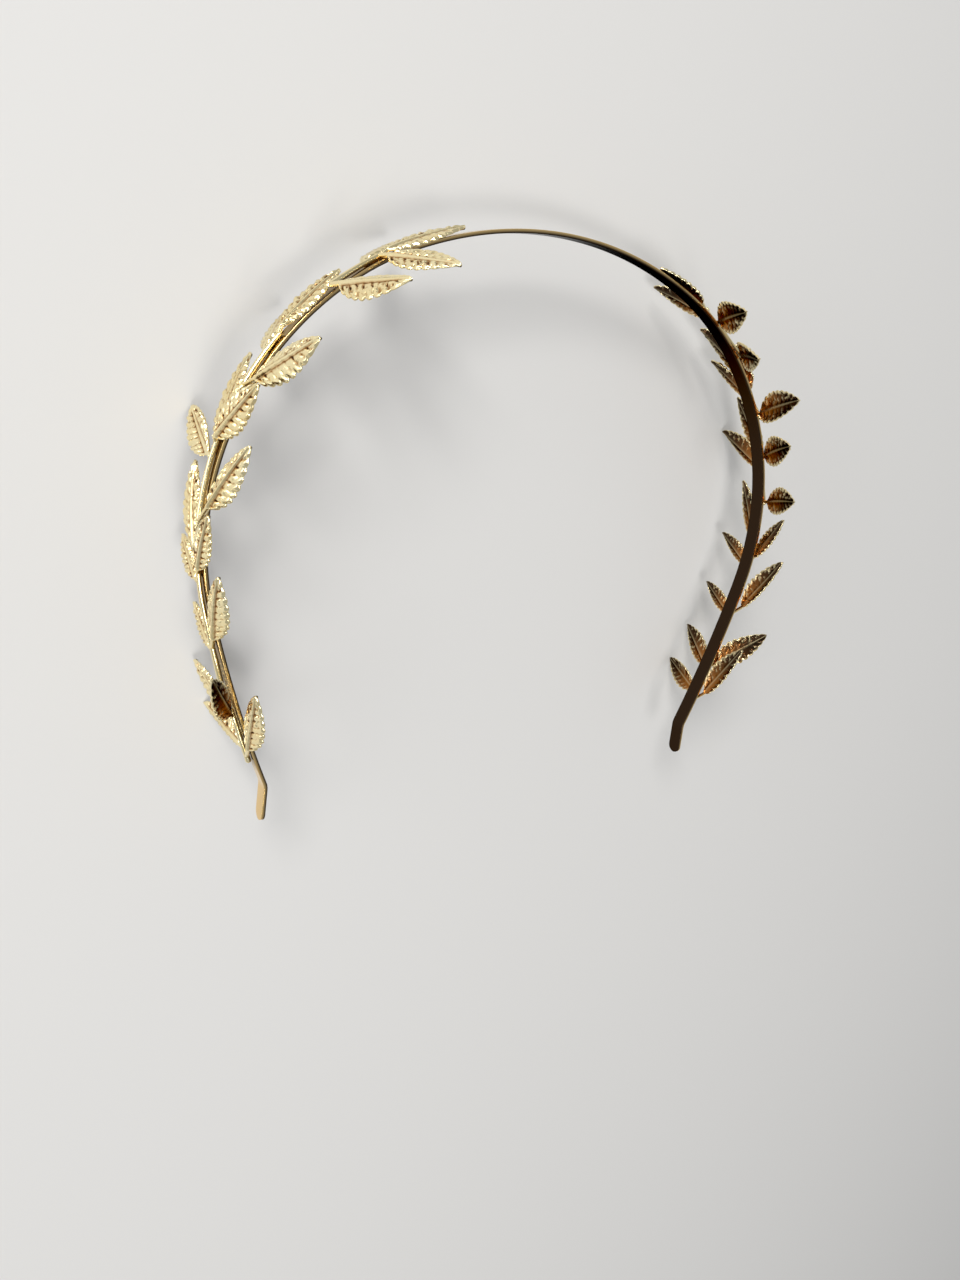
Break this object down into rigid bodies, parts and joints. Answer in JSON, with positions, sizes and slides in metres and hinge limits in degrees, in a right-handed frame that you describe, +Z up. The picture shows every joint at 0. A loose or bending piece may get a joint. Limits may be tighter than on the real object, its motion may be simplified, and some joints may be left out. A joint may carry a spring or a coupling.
{
  "type": "leaf headpiece",
  "caption": "Open leaf headpiece: a thin flat band arched over the head, with sprigs of serrated leaves climbing each side towards a bare crown, and short flared end tabs.",
  "frame": {"origin": "on the surface that it lies on, under the middle of its outline", "axes": "+Z up and towards the wearer's front, +Y towards the crown of the band, -Y towards its open ends, +X towards the wearer's left"},
  "size_m": [0.1592, 0.1316, 0.0398],
  "materials": {
    "band_gold": "polished gold plating",
    "sprig_gold": "bright cast gold plating"
  },
  "bodies": {
    "root": {"band": "band_gold", "right_sprig_1": "sprig_gold", "right_sprig_2": "sprig_gold", "right_sprig_3": "sprig_gold", "right_sprig_4": "sprig_gold", "right_sprig_5": "sprig_gold", "left_sprig_1": "sprig_gold", "left_sprig_2": "sprig_gold", "left_sprig_3": "sprig_gold", "left_sprig_4": "sprig_gold", "left_sprig_5": "sprig_gold"}
  },
  "joints": []
}
